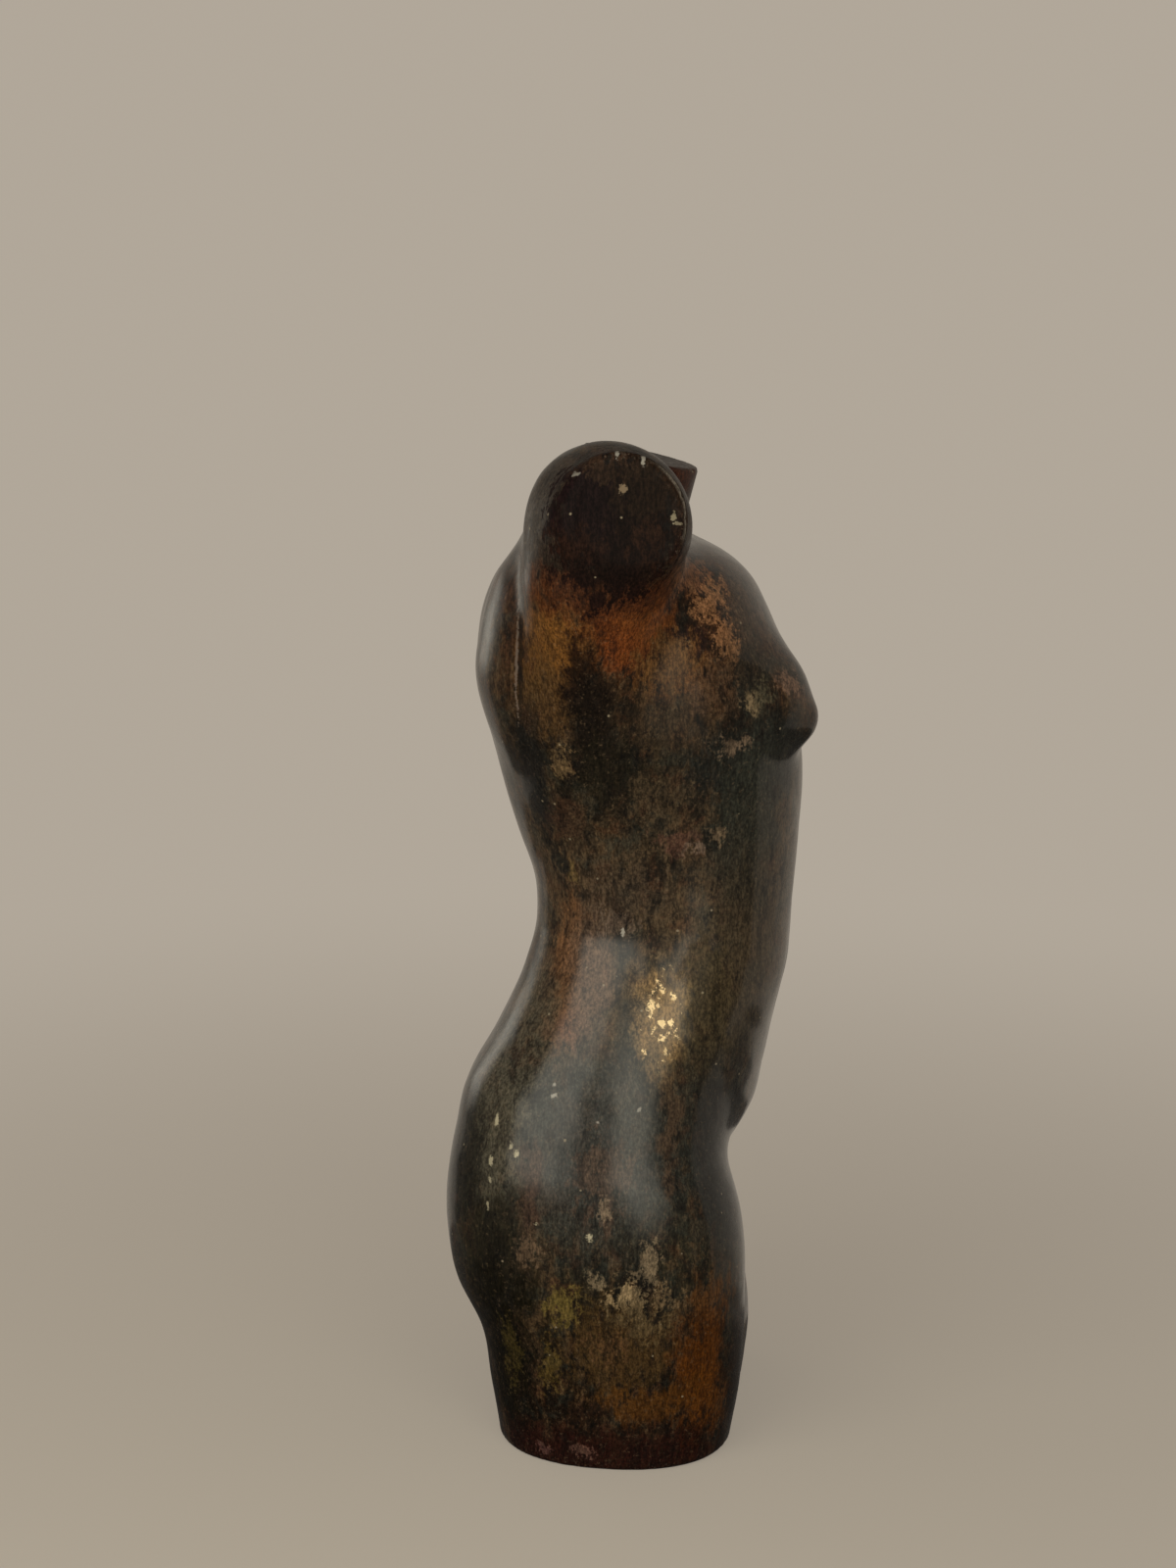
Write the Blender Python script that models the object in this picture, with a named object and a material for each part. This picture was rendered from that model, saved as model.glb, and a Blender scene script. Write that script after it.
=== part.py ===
"""Standing torso, cut flat at the thighs, the neck and both upper arms: one closed casting."""

import bpy
import bmesh
import numpy as np
from mathutils import Matrix, Vector

# Driving sizes, in metres and degrees
HEIGHT = 0.500
CHEST_TURN_DEG = 12.0
GRID_STEP = 0.005
TRIANGLES = 9000

# The figure's own shares of HEIGHT: x to its left, y to its back, z up from the cut thighs
# Cross-sections of one thigh and of the trunk: height, middle, front, back, half width
THIGH = {
    "below the cut": (-0.06, 0.080, -0.108, 0.112, 0.104),
    "cut": (0.00, 0.081, -0.114, 0.117, 0.108),
    "mid thigh": (0.06, 0.084, -0.121, 0.127, 0.112),
    "seat fold": (0.12, 0.088, -0.117, 0.138, 0.116),
    "under seat": (0.17, 0.091, -0.108, 0.162, 0.118),
    "seat": (0.22, 0.093, -0.098, 0.171, 0.118),
    "groin": (0.27, 0.094, -0.088, 0.171, 0.116),
    "hip joint": (0.32, 0.092, -0.076, 0.163, 0.108),
    "upper hip": (0.37, 0.088, -0.062, 0.146, 0.093),
    "hip bone": (0.42, 0.082, -0.040, 0.101, 0.068),
    "flank": (0.47, 0.074, -0.010, 0.066, 0.038),
    "root": (0.52, 0.066, 0.020, 0.040, 0.010),
}
TRUNK = {
    "root": (0.22, 0.000, -0.060, 0.060, 0.070),
    "groin": (0.27, 0.000, -0.088, 0.090, 0.100),
    "pubis": (0.30, 0.001, -0.108, 0.110, 0.130),
    "low belly": (0.33, 0.002, -0.124, 0.125, 0.152),
    "belly": (0.37, 0.004, -0.133, 0.130, 0.166),
    "hip bones": (0.42, 0.005, -0.143, 0.122, 0.166),
    "navel": (0.47, 0.005, -0.155, 0.107, 0.154),
    "waist": (0.52, 0.004, -0.159, 0.099, 0.144),
    "upper waist": (0.56, 0.002, -0.161, 0.102, 0.144),
    "lowest rib": (0.61, 0.000, -0.163, 0.121, 0.150),
    "ribs": (0.67, -0.002, -0.164, 0.141, 0.162),
    "under bust": (0.73, -0.003, -0.156, 0.155, 0.172),
    "bust": (0.79, -0.004, -0.142, 0.158, 0.174),
    "armpit": (0.84, -0.004, -0.121, 0.143, 0.166),
    "collar": (0.88, -0.002, -0.098, 0.114, 0.140),
    "neck root": (0.91, 0.000, -0.074, 0.094, 0.095),
    "throat": (0.94, 0.000, -0.050, 0.080, 0.062),
}
SECTION_POWER = 2.25

# Round-ended tapers: start, end, radius at each, blend into what they join
STILL_TAPERS = {
    "right shoulder": ((-0.070, 0.040, 0.852), (-0.165, 0.0115, 0.922), 0.066, 0.071, 0.042),
    "raised right arm": ((-0.165, 0.0115, 0.923), (-0.300, -0.020, 0.943), 0.071, 0.053, 0.020),
    "right flank fold": ((-0.118, 0.040, 0.680), (-0.172, 0.030, 0.865), 0.045, 0.062, 0.030),
    "right shoulder blade": ((-0.085, 0.074, 0.780), (-0.085, 0.062, 0.842), 0.067, 0.068, 0.030),
    "neck": ((0.000, 0.034, 0.860), (0.004, -0.012, 1.030), 0.060, 0.057, 0.022),
    "right nape slope": ((0.000, 0.050, 0.885), (-0.140, 0.030, 0.930), 0.050, 0.050, 0.040),
}
TURNED_TAPERS = {
    "left shoulder": ((0.060, 0.030, 0.845), (0.160, 0.016, 0.812), 0.070, 0.070, 0.050),
    "left arm": ((0.160, 0.016, 0.812), (0.262, 0.000, 0.732), 0.069, 0.052, 0.030),
    "left nape slope": ((0.000, 0.050, 0.885), (0.135, 0.026, 0.840), 0.050, 0.050, 0.040),
}
# Made once on each side of the mid-plane, and turned with the chest
PAIRED_EGGS = {
    "breast": ((0.080, -0.097, 0.748), (0.062, 0.055, 0.058), 0.030),
    "shoulder blade": ((0.088, 0.115, 0.785), (0.055, 0.034, 0.080), 0.040),
}
PAIRED_TAPERS = {
    "breast point": ((0.083, -0.111, 0.743), (0.089, -0.141, 0.732), 0.046, 0.025, 0.020),
}
THIGH_BLEND = 0.042
# A slight stride: how far the right thigh's front stands ahead and the left one's behind, where, and over what height
THIGH_AHEAD, LEFT_BEHIND = 0.026, 0.010
STRIDE_HEIGHT, STRIDE_REACH = 0.238, 0.083
HIP_BLEND = 0.075
GROIN_BLEND = 0.018
CHEST_TURN_FROM, CHEST_TURN_TO = 0.43, 0.75

# Hollows drawn into the skin: depth and reach
SPINE_DEPTH, SPINE_REACH = 0.010, 0.018
BELLY_LINE_DEPTH, BELLY_LINE_REACH = 0.003, 0.014
NAVEL_DEPTH, NAVEL_REACH, NAVEL_HEIGHT = 0.010, 0.009, 0.452

# Flat cuts: a point on the cut, the way that it faces, the radius that it clears
CUTS = {
    "foot cut": ((0.000, 0.000, 0.000), (0.00, 0.00, -1.00), 0.500),
    "neck cut": ((0.000, -0.003, 0.977), (-0.02, -0.20, 0.98), 0.076),
    "right arm cut": ((-0.240, -0.006, 0.935), (-0.95, -0.26, 0.06), 0.100),
    "left arm cut": ((0.228, 0.056, 0.768), (0.80, 0.02, -0.59), 0.100),
}

# The space that holds the figure before it is cut
LOWEST, HIGHEST = (-0.38, -0.24, -0.05), (0.36, 0.24, 1.12)


def smooth_rows(sections, samples=400):
    """Cubic curve through the sections' rows: heights, and the other values at each."""
    rows = np.array(list(sections.values()))
    height, value = rows[:, 0], rows[:, 1:]
    slope = np.gradient(value, height, axis=0)
    at = np.linspace(height[0], height[-1], samples)
    i = np.clip(np.searchsorted(height, at, side="right") - 1, 0, len(height) - 2)
    span = (height[i + 1] - height[i])[:, None]
    t = (at - height[i])[:, None] / span
    curve = (1 + 2 * t) * (1 - t) ** 2 * value[i] + t * (1 - t) ** 2 * span * slope[i]
    curve += t * t * (3 - 2 * t) * value[i + 1] + t * t * (t - 1) * span * slope[i + 1]
    return at, curve


def column(p, rows, side=1.0, ahead=0.0):
    """Height by height, the gap between a point and a rounded section, measured from its middle."""
    at, curve = rows
    middle, front, back, half = (np.interp(p[..., 2], at, curve[:, k]) for k in range(4))
    front = front - ahead
    across = p[..., 0] * side - middle + 1e-5
    along = p[..., 1] - (front + back) / 2
    power = SECTION_POWER
    share = (np.abs(across) / half) ** power + (np.abs(along) * 2 / (back - front)) ** power
    reach = np.hypot(across, along)
    return reach - reach / share ** (1 / power)


def taper(p, start, end, start_radius, end_radius):
    """Distance to the hull of two balls."""
    start, axis = np.array(start), np.subtract(end, start)
    length = np.linalg.norm(axis)
    along = (p - start) @ axis / length
    away = np.sqrt(np.maximum(((p - start) ** 2).sum(-1) - along ** 2, 0))
    lean = (start_radius - end_radius) / length
    upright = np.sqrt(1 - lean ** 2)
    where = along * upright - away * lean
    side = away * upright + along * lean - start_radius
    first = np.hypot(away, along) - start_radius
    last = np.hypot(away, along - length) - end_radius
    return np.where(where < 0, first, np.where(where > upright * length, last, side))


def egg(p, middle, radii):
    """Near distance to an ellipsoid."""
    q = (p - np.array(middle)) / np.array(radii)
    size = np.linalg.norm(q, axis=-1)
    return size * (size - 1) / (np.linalg.norm(q / np.array(radii), axis=-1) + 1e-9)


def join(a, b, blend):
    """Union of two distances, with a fillet as wide as the blend."""
    h = np.clip(0.5 + 0.5 * (b - a) / blend, 0, 1)
    return b + (a - b) * h - blend * h * (1 - h)


def turned(p):
    """Points in the chest's own directions: it turns about the upright, more from waist to bust."""
    t = np.clip((p[..., 2] - CHEST_TURN_FROM) / (CHEST_TURN_TO - CHEST_TURN_FROM), 0, 1)
    angle = np.radians(CHEST_TURN_DEG) * t * t * (3 - 2 * t)
    c, s = np.cos(angle), np.sin(angle)
    return np.stack([p[..., 0] * c + p[..., 1] * s, p[..., 1] * c - p[..., 0] * s, p[..., 2]], -1)


def step_up(value, width):
    """From 0 to 1 as the value passes 0."""
    return 1 / (1 + np.exp(-value / width))


def dip(distance, reach):
    """Bell curve, 1 in the middle."""
    return np.exp(-0.5 * (distance / reach) ** 2)


THIGH_ROWS = smooth_rows(THIGH)
TRUNK_ROWS = smooth_rows(TRUNK)


def body(p):
    """Below 0 inside the figure: its masses joined one by one, then its hollows."""
    x, y, z = p[..., 0], p[..., 1], p[..., 2]
    q = turned(p)
    stride = dip(z - STRIDE_HEIGHT, STRIDE_REACH)
    right = column(p, THIGH_ROWS, -1, THIGH_AHEAD * stride)
    left = column(p, THIGH_ROWS, 1, -LEFT_BEHIND * stride)
    thighs = join(right, left, THIGH_BLEND)
    thighs = -join(-thighs, 0.54 - z, 0.02)
    trunk = -join(-column(q, TRUNK_ROWS), 0.90 - z, 0.05)
    trunk = -join(-trunk, z - 0.25, 0.05)
    groin = np.exp(-(x / 0.13) ** 2) * step_up(-y, 0.02)
    skin = join(trunk, thighs, HIP_BLEND + (GROIN_BLEND - HIP_BLEND) * groin)
    for points, tapers in ((p, STILL_TAPERS), (q, TURNED_TAPERS)):
        for start, end, start_radius, end_radius, blend in tapers.values():
            skin = join(skin, taper(points, start, end, start_radius, end_radius), blend)
    for side in (-1, 1):
        mirror = q * (side, 1, 1)
        for middle, radii, blend in PAIRED_EGGS.values():
            skin = join(skin, egg(mirror, middle, radii), blend)
        for start, end, start_radius, end_radius, blend in PAIRED_TAPERS.values():
            skin = join(skin, taper(mirror, start, end, start_radius, end_radius), blend)
    back = step_up(q[..., 1] - 0.02, 0.01)
    spine = step_up(z - 0.37, 0.02) * step_up(0.86 - z, 0.02) * back
    belly = step_up(z - 0.46, 0.015) * step_up(0.86 - z, 0.03) * (1 - back)
    skin += SPINE_DEPTH * dip(q[..., 0], SPINE_REACH) * spine
    skin += BELLY_LINE_DEPTH * dip(q[..., 0], BELLY_LINE_REACH) * belly
    from_navel = np.hypot(q[..., 0], (z - NAVEL_HEIGHT) / 1.4)
    return skin + NAVEL_DEPTH * dip(from_navel, NAVEL_REACH) * (1 - back)


def net(value, lowest, step):
    """Quads over the zero of a grid of values: one corner in each cell that the surface crosses."""
    cells = np.array(value.shape) - 1
    total, count = np.zeros((*cells, 3)), np.zeros(cells)
    for axis in range(3):
        for corner in np.ndindex(2, 2, 2):
            if corner[axis]:
                continue
            window = [slice(c, c + n) for c, n in zip(corner, cells)]
            a = value[tuple(window)]
            window[axis] = slice(1, 1 + cells[axis])
            b = value[tuple(window)]
            crossed = (a < 0) != (b < 0)
            place = np.array(corner) + np.zeros((*cells, 3))
            place[..., axis] = np.where(crossed, a / np.where(crossed, a - b, 1), 0)
            total += place * crossed[..., None]
            count += crossed
    used = count > 0
    index = np.full(cells, -1)
    index[used] = np.arange(used.sum())
    corners = lowest + step * (np.argwhere(used) + total[used] / count[used][:, None])
    quads = []
    for axis in range(3):
        low = [slice(1, -1)] * 3
        high = [slice(1, -1)] * 3
        low[axis], high[axis] = slice(0, -1), slice(1, None)
        inside = value[tuple(low)] < 0
        edges = np.argwhere(inside != (value[tuple(high)] < 0))
        ring = []
        for back, side in ((0, 0), (1, 0), (1, 1), (0, 1)):
            cell = edges.copy()
            cell[:, (axis + 1) % 3] += back
            cell[:, (axis + 2) % 3] += side
            ring.append(index[tuple(cell.T)])
        ring = np.stack(ring, 1)
        outward = inside[tuple(edges.T)][:, None]
        quads.append(np.where(outward, ring, ring[:, ::-1]))
    return corners, np.concatenate(quads)


def settle(points, step, rounds=4):
    """Slide points along the slope of the field until they lie on its zero."""
    for _ in range(rounds):
        value = body(points)
        nudge = np.eye(3) * step * 0.05
        slope = [(body(points + d) - body(points - d)) / (step * 0.1) for d in nudge]
        slope = np.stack(slope, 1)
        points = points - slope * (value / np.maximum((slope ** 2).sum(1), 0.05))[:, None]
    return points


def uncut_figure():
    """The whole skin, closed, in metres."""
    step = GRID_STEP / HEIGHT
    lines = [np.arange(low, high, step) for low, high in zip(LOWEST, HIGHEST)]
    grid = np.stack(np.meshgrid(*lines, indexing="ij"), -1)
    value = np.maximum(body(grid), np.abs(grid[..., 2] - 0.5) - 0.54)
    points, quads = net(value, np.array(LOWEST), step)
    free = np.abs(points[:, 2] - 0.5) < 0.53
    points[free] = settle(points[free], step)
    mesh = bpy.data.meshes.new("torso")
    mesh.from_pydata((points * HEIGHT).tolist(), [], quads.tolist())
    figure = bpy.data.objects.new("torso", mesh)
    bpy.context.scene.collection.objects.link(figure)
    return figure


def cut_flat(figure, centre, facing, radius):
    """Take off what stands past a plane within the radius, and close the cut with one flat face."""
    centre, facing = Vector(centre) * HEIGHT, Vector(facing).normalized()
    work = bmesh.new()
    work.from_mesh(figure.data)
    near = set()
    for corner in work.verts:
        off = corner.co - centre
        if (off - facing * off.dot(facing)).length < radius * HEIGHT and off.dot(facing) > -2 * GRID_STEP:
            near.add(corner)
    faces = [face for face in work.faces if near.issuperset(face.verts)]
    edges = {edge for face in faces for edge in face.edges}
    bmesh.ops.bisect_plane(
        work, geom=faces + list(edges) + list(near), dist=1e-5,
        plane_co=centre, plane_no=facing, clear_outer=True)
    rim = [edge for edge in work.edges if edge.is_boundary]
    bmesh.ops.holes_fill(work, edges=rim, sides=0)
    loose = [corner for corner in work.verts if not corner.link_faces]
    bmesh.ops.delete(work, geom=loose, context="VERTS")
    work.to_mesh(figure.data)
    work.free()


def resin():
    """Dark bronze-brown gloss."""
    material = bpy.data.materials.new("lacquered resin")
    material.use_nodes = True
    shader = material.node_tree.nodes["Principled BSDF"]
    shader.inputs["Base Color"].default_value = (0.055, 0.035, 0.022, 1.0)
    shader.inputs["Roughness"].default_value = 0.22
    shader.inputs["Metallic"].default_value = 0.0
    return material


def torso():
    """The figure, cut, thinned to few triangles and stood over the middle of its own outline."""
    figure = uncut_figure()
    for centre, facing, radius in CUTS.values():
        cut_flat(figure, centre, facing, radius)
    thin = figure.modifiers.new("fewer triangles", "DECIMATE")
    thin.ratio = TRIANGLES / sum(len(face.vertices) - 2 for face in figure.data.polygons)
    thin.use_collapse_triangulate = True
    mesh = bpy.data.meshes.new_from_object(figure.evaluated_get(bpy.context.evaluated_depsgraph_get()))
    figure.modifiers.clear()
    figure.data = mesh
    corners = np.array([corner.co for corner in mesh.vertices])
    middle = (corners.min(0) + corners.max(0)) / 2
    mesh.transform(Matrix.Translation((-middle[0], -middle[1], 0)))
    mesh.shade_smooth()
    mesh.set_sharp_from_angle(angle=np.radians(40))
    mesh.materials.append(resin())


for old in list(bpy.data.objects):
    bpy.data.objects.remove(old)
torso()
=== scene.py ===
"""Looks of the lacquered torso: a finer skin on the frame's own form, its patina and a plain stage."""

import bpy
import numpy as np
from mathutils import Matrix, Quaternion, Vector


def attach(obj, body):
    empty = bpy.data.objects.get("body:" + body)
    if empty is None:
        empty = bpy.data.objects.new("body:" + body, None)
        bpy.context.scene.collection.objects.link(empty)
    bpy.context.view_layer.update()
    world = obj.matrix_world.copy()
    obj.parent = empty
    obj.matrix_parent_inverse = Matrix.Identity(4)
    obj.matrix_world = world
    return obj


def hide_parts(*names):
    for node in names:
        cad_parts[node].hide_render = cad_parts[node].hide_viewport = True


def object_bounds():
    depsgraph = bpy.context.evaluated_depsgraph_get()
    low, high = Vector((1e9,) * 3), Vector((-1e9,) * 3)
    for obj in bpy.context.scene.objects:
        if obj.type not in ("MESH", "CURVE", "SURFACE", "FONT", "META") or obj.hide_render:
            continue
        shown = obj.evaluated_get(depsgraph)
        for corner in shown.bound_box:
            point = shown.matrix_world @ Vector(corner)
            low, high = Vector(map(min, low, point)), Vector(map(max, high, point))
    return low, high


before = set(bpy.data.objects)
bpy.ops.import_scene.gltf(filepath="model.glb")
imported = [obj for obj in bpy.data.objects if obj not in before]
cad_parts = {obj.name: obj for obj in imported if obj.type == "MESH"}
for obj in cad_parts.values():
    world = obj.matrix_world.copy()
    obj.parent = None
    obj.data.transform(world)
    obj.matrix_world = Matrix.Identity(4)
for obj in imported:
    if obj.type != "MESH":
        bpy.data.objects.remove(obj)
cad_low, cad_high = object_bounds()

# Driving sizes, in metres and degrees, the same as the frame's
HEIGHT = 0.500
CHEST_TURN_DEG = 12.0
SKIN_STEP = 0.00225

# The figure's own shares of HEIGHT: x to its left, y to its back, z up from the cut thighs
# Cross-sections of one thigh and of the trunk: height, middle, front, back, half width
THIGH = {
    "below the cut": (-0.06, 0.080, -0.108, 0.112, 0.104),
    "cut": (0.00, 0.081, -0.114, 0.117, 0.108),
    "mid thigh": (0.06, 0.084, -0.121, 0.127, 0.112),
    "seat fold": (0.12, 0.088, -0.117, 0.138, 0.116),
    "under seat": (0.17, 0.091, -0.108, 0.162, 0.118),
    "seat": (0.22, 0.093, -0.098, 0.171, 0.118),
    "groin": (0.27, 0.094, -0.088, 0.171, 0.116),
    "hip joint": (0.32, 0.092, -0.076, 0.163, 0.108),
    "upper hip": (0.37, 0.088, -0.062, 0.146, 0.093),
    "hip bone": (0.42, 0.082, -0.040, 0.101, 0.068),
    "flank": (0.47, 0.074, -0.010, 0.066, 0.038),
    "root": (0.52, 0.066, 0.020, 0.040, 0.010),
}
TRUNK = {
    "root": (0.22, 0.000, -0.060, 0.060, 0.070),
    "groin": (0.27, 0.000, -0.088, 0.090, 0.100),
    "pubis": (0.30, 0.001, -0.108, 0.110, 0.130),
    "low belly": (0.33, 0.002, -0.124, 0.125, 0.152),
    "belly": (0.37, 0.004, -0.133, 0.130, 0.166),
    "hip bones": (0.42, 0.005, -0.143, 0.122, 0.166),
    "navel": (0.47, 0.005, -0.155, 0.107, 0.154),
    "waist": (0.52, 0.004, -0.159, 0.099, 0.144),
    "upper waist": (0.56, 0.002, -0.161, 0.102, 0.144),
    "lowest rib": (0.61, 0.000, -0.163, 0.121, 0.150),
    "ribs": (0.67, -0.002, -0.164, 0.141, 0.162),
    "under bust": (0.73, -0.003, -0.156, 0.155, 0.172),
    "bust": (0.79, -0.004, -0.142, 0.158, 0.174),
    "armpit": (0.84, -0.004, -0.121, 0.143, 0.166),
    "collar": (0.88, -0.002, -0.098, 0.114, 0.140),
    "neck root": (0.91, 0.000, -0.074, 0.094, 0.095),
    "throat": (0.94, 0.000, -0.050, 0.080, 0.062),
}
SECTION_POWER = 2.25

# Round-ended tapers: start, end, radius at each, blend into what they join
STILL_TAPERS = {
    "right shoulder": ((-0.070, 0.040, 0.852), (-0.165, 0.0115, 0.922), 0.066, 0.071, 0.042),
    "raised right arm": ((-0.165, 0.0115, 0.923), (-0.300, -0.020, 0.943), 0.071, 0.053, 0.020),
    "right flank fold": ((-0.118, 0.040, 0.680), (-0.172, 0.030, 0.865), 0.045, 0.062, 0.030),
    "right shoulder blade": ((-0.085, 0.074, 0.780), (-0.085, 0.062, 0.842), 0.067, 0.068, 0.030),
    "neck": ((0.000, 0.034, 0.860), (0.004, -0.012, 1.030), 0.060, 0.057, 0.022),
    "right nape slope": ((0.000, 0.050, 0.885), (-0.140, 0.030, 0.930), 0.050, 0.050, 0.040),
}
TURNED_TAPERS = {
    "left shoulder": ((0.060, 0.030, 0.845), (0.160, 0.016, 0.812), 0.070, 0.070, 0.050),
    "left arm": ((0.160, 0.016, 0.812), (0.262, 0.000, 0.732), 0.069, 0.052, 0.030),
    "left nape slope": ((0.000, 0.050, 0.885), (0.135, 0.026, 0.840), 0.050, 0.050, 0.040),
}
# Made once on each side of the mid-plane, and turned with the chest
PAIRED_EGGS = {
    "breast": ((0.080, -0.097, 0.748), (0.062, 0.055, 0.058), 0.030),
    "shoulder blade": ((0.088, 0.115, 0.785), (0.055, 0.034, 0.080), 0.040),
}
PAIRED_TAPERS = {
    "breast point": ((0.083, -0.111, 0.743), (0.089, -0.141, 0.732), 0.046, 0.025, 0.020),
}
THIGH_BLEND = 0.042
# A slight stride: how far the right thigh's front stands ahead and the left one's behind,
# at what height, and over what reach
THIGH_AHEAD, LEFT_BEHIND = 0.026, 0.010
STRIDE_HEIGHT, STRIDE_REACH = 0.238, 0.083
HIP_BLEND = 0.075
GROIN_BLEND = 0.018
CHEST_TURN_FROM, CHEST_TURN_TO = 0.43, 0.75
# Where the thighs and the trunk end inside the figure, and how softly
THIGH_TOP, THIGH_TOP_BLEND = 0.54, 0.02
TRUNK_TOP, TRUNK_FOOT, TRUNK_END_BLEND = 0.90, 0.25, 0.05
GROIN_HALF_WIDTH, GROIN_EDGE = 0.13, 0.02

# Hollows drawn into the skin: depth and reach
SPINE_DEPTH, SPINE_REACH = 0.010, 0.018
BELLY_LINE_DEPTH, BELLY_LINE_REACH = 0.003, 0.014
NAVEL_DEPTH, NAVEL_REACH, NAVEL_HEIGHT, NAVEL_TALLER = 0.010, 0.009, 0.452, 1.4
# Where the drawn lines start and end, each with how softly; and where the back begins
SPINE_SPAN = (0.37, 0.02, 0.86, 0.02)
BELLY_LINE_SPAN = (0.46, 0.015, 0.86, 0.03)
BACK_FROM, BACK_EDGE = 0.02, 0.01

# Flat cuts: a point on the cut, the way that it faces, the radius that it clears, how round its rim is
CUTS = {
    "foot cut": ((0.000, 0.000, 0.000), (0.00, 0.00, -1.00), 0.500, 0.006),
    "neck cut": ((0.000, -0.003, 0.977), (-0.02, -0.20, 0.98), 0.076, 0.004),
    "right arm cut": ((-0.240, -0.006, 0.935), (-0.95, -0.26, 0.06), 0.100, 0.006),
    "left arm cut": ((0.228, 0.056, 0.768), (0.80, 0.02, -0.59), 0.100, 0.005),
}

# The side of a cut where its rim is rubbed rounder, and by how much
RUBBED_RIMS = {"right arm cut": ((0.0, 0.8, -0.6), 0.026)}
RUBBED_EDGE = 0.012

# Handwork that the solid leaves out: slow waves in the skin, in metres
WAVES = {
    "broad": (0.00014, 0.046),
    "middle": (0.00009, 0.023),
    "fine": (0.00003, 0.011),
}
# Scored lines: start, end, depth and reach, in shares of HEIGHT
SCORED_LINES = {
    "edge of the flank fold": ((-0.186, 0.094, 0.835), (-0.173, 0.095, 0.735), 0.0016, 0.0045),
}

# The space that holds the figure, in shares of HEIGHT
LOWEST, HIGHEST = (-0.27, -0.20, -0.02), (0.27, 0.20, 1.02)
# How finely the skin is settled: rounds, the nudge that measures its slope, and the least slope squared
SETTLE_ROUNDS, SETTLE_NUDGE, LEAST_SLOPE = 4, 0.05, 0.05
# Masks that the material reads: how far out a hollow is felt, its gain, and the reach of a rim
HOLLOW_REACH, HOLLOW_GAIN, RIM_REACH, FACING_NUDGE = 0.024, 2, 0.004, 0.2


def smooth_rows(sections, samples=400):
    """Cubic curve through the sections' rows: heights, and the other values at each."""
    rows = np.array(list(sections.values()))
    height, value = rows[:, 0], rows[:, 1:]
    slope = np.gradient(value, height, axis=0)
    at = np.linspace(height[0], height[-1], samples)
    i = np.clip(np.searchsorted(height, at, side="right") - 1, 0, len(height) - 2)
    span = (height[i + 1] - height[i])[:, None]
    t = (at - height[i])[:, None] / span
    curve = (1 + 2 * t) * (1 - t) ** 2 * value[i] + t * (1 - t) ** 2 * span * slope[i]
    curve += t * t * (3 - 2 * t) * value[i + 1] + t * t * (t - 1) * span * slope[i + 1]
    return at, curve


def column(p, rows, side=1.0, ahead=0.0):
    """Height by height, the gap between a point and a rounded section, measured from its middle."""
    at, curve = rows
    middle, front, back, half = (np.interp(p[..., 2], at, curve[:, k]) for k in range(4))
    front = front - ahead
    across = p[..., 0] * side - middle + 1e-5
    along = p[..., 1] - (front + back) / 2
    power = SECTION_POWER
    share = (np.abs(across) / half) ** power + (np.abs(along) * 2 / (back - front)) ** power
    reach = np.hypot(across, along)
    return reach - reach / share ** (1 / power)


def taper(p, start, end, start_radius, end_radius):
    """Distance to the hull of two balls."""
    start, axis = np.array(start), np.subtract(end, start)
    length = np.linalg.norm(axis)
    along = (p - start) @ axis / length
    away = np.sqrt(np.maximum(((p - start) ** 2).sum(-1) - along ** 2, 0))
    lean = (start_radius - end_radius) / length
    upright = np.sqrt(1 - lean ** 2)
    where = along * upright - away * lean
    side = away * upright + along * lean - start_radius
    first = np.hypot(away, along) - start_radius
    last = np.hypot(away, along - length) - end_radius
    return np.where(where < 0, first, np.where(where > upright * length, last, side))


def egg(p, middle, radii):
    """Near distance to an ellipsoid."""
    q = (p - np.array(middle)) / np.array(radii)
    size = np.linalg.norm(q, axis=-1)
    return size * (size - 1) / (np.linalg.norm(q / np.array(radii), axis=-1) + 1e-9)


def join(a, b, blend):
    """Union of two distances, with a fillet as wide as the blend."""
    h = np.clip(0.5 + 0.5 * (b - a) / blend, 0, 1)
    return b + (a - b) * h - blend * h * (1 - h)


def turned(p):
    """Points in the chest's own directions: it turns about the upright, more from waist to bust."""
    t = np.clip((p[..., 2] - CHEST_TURN_FROM) / (CHEST_TURN_TO - CHEST_TURN_FROM), 0, 1)
    angle = np.radians(CHEST_TURN_DEG) * t * t * (3 - 2 * t)
    c, s = np.cos(angle), np.sin(angle)
    return np.stack([p[..., 0] * c + p[..., 1] * s, p[..., 1] * c - p[..., 0] * s, p[..., 2]], -1)


def step_up(value, width):
    """From 0 to 1 as the value passes 0."""
    return 0.5 + 0.5 * np.tanh(0.5 * value / width)


def within(z, low, low_edge, high, high_edge):
    """1 between two heights and 0 outside them, with a soft edge at each."""
    return step_up(z - low, low_edge) * step_up(high - z, high_edge)


def dip(distance, reach):
    """Bell curve, 1 in the middle."""
    return np.exp(-0.5 * (distance / reach) ** 2)


THIGH_ROWS = smooth_rows(THIGH)
TRUNK_ROWS = smooth_rows(TRUNK)


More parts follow.
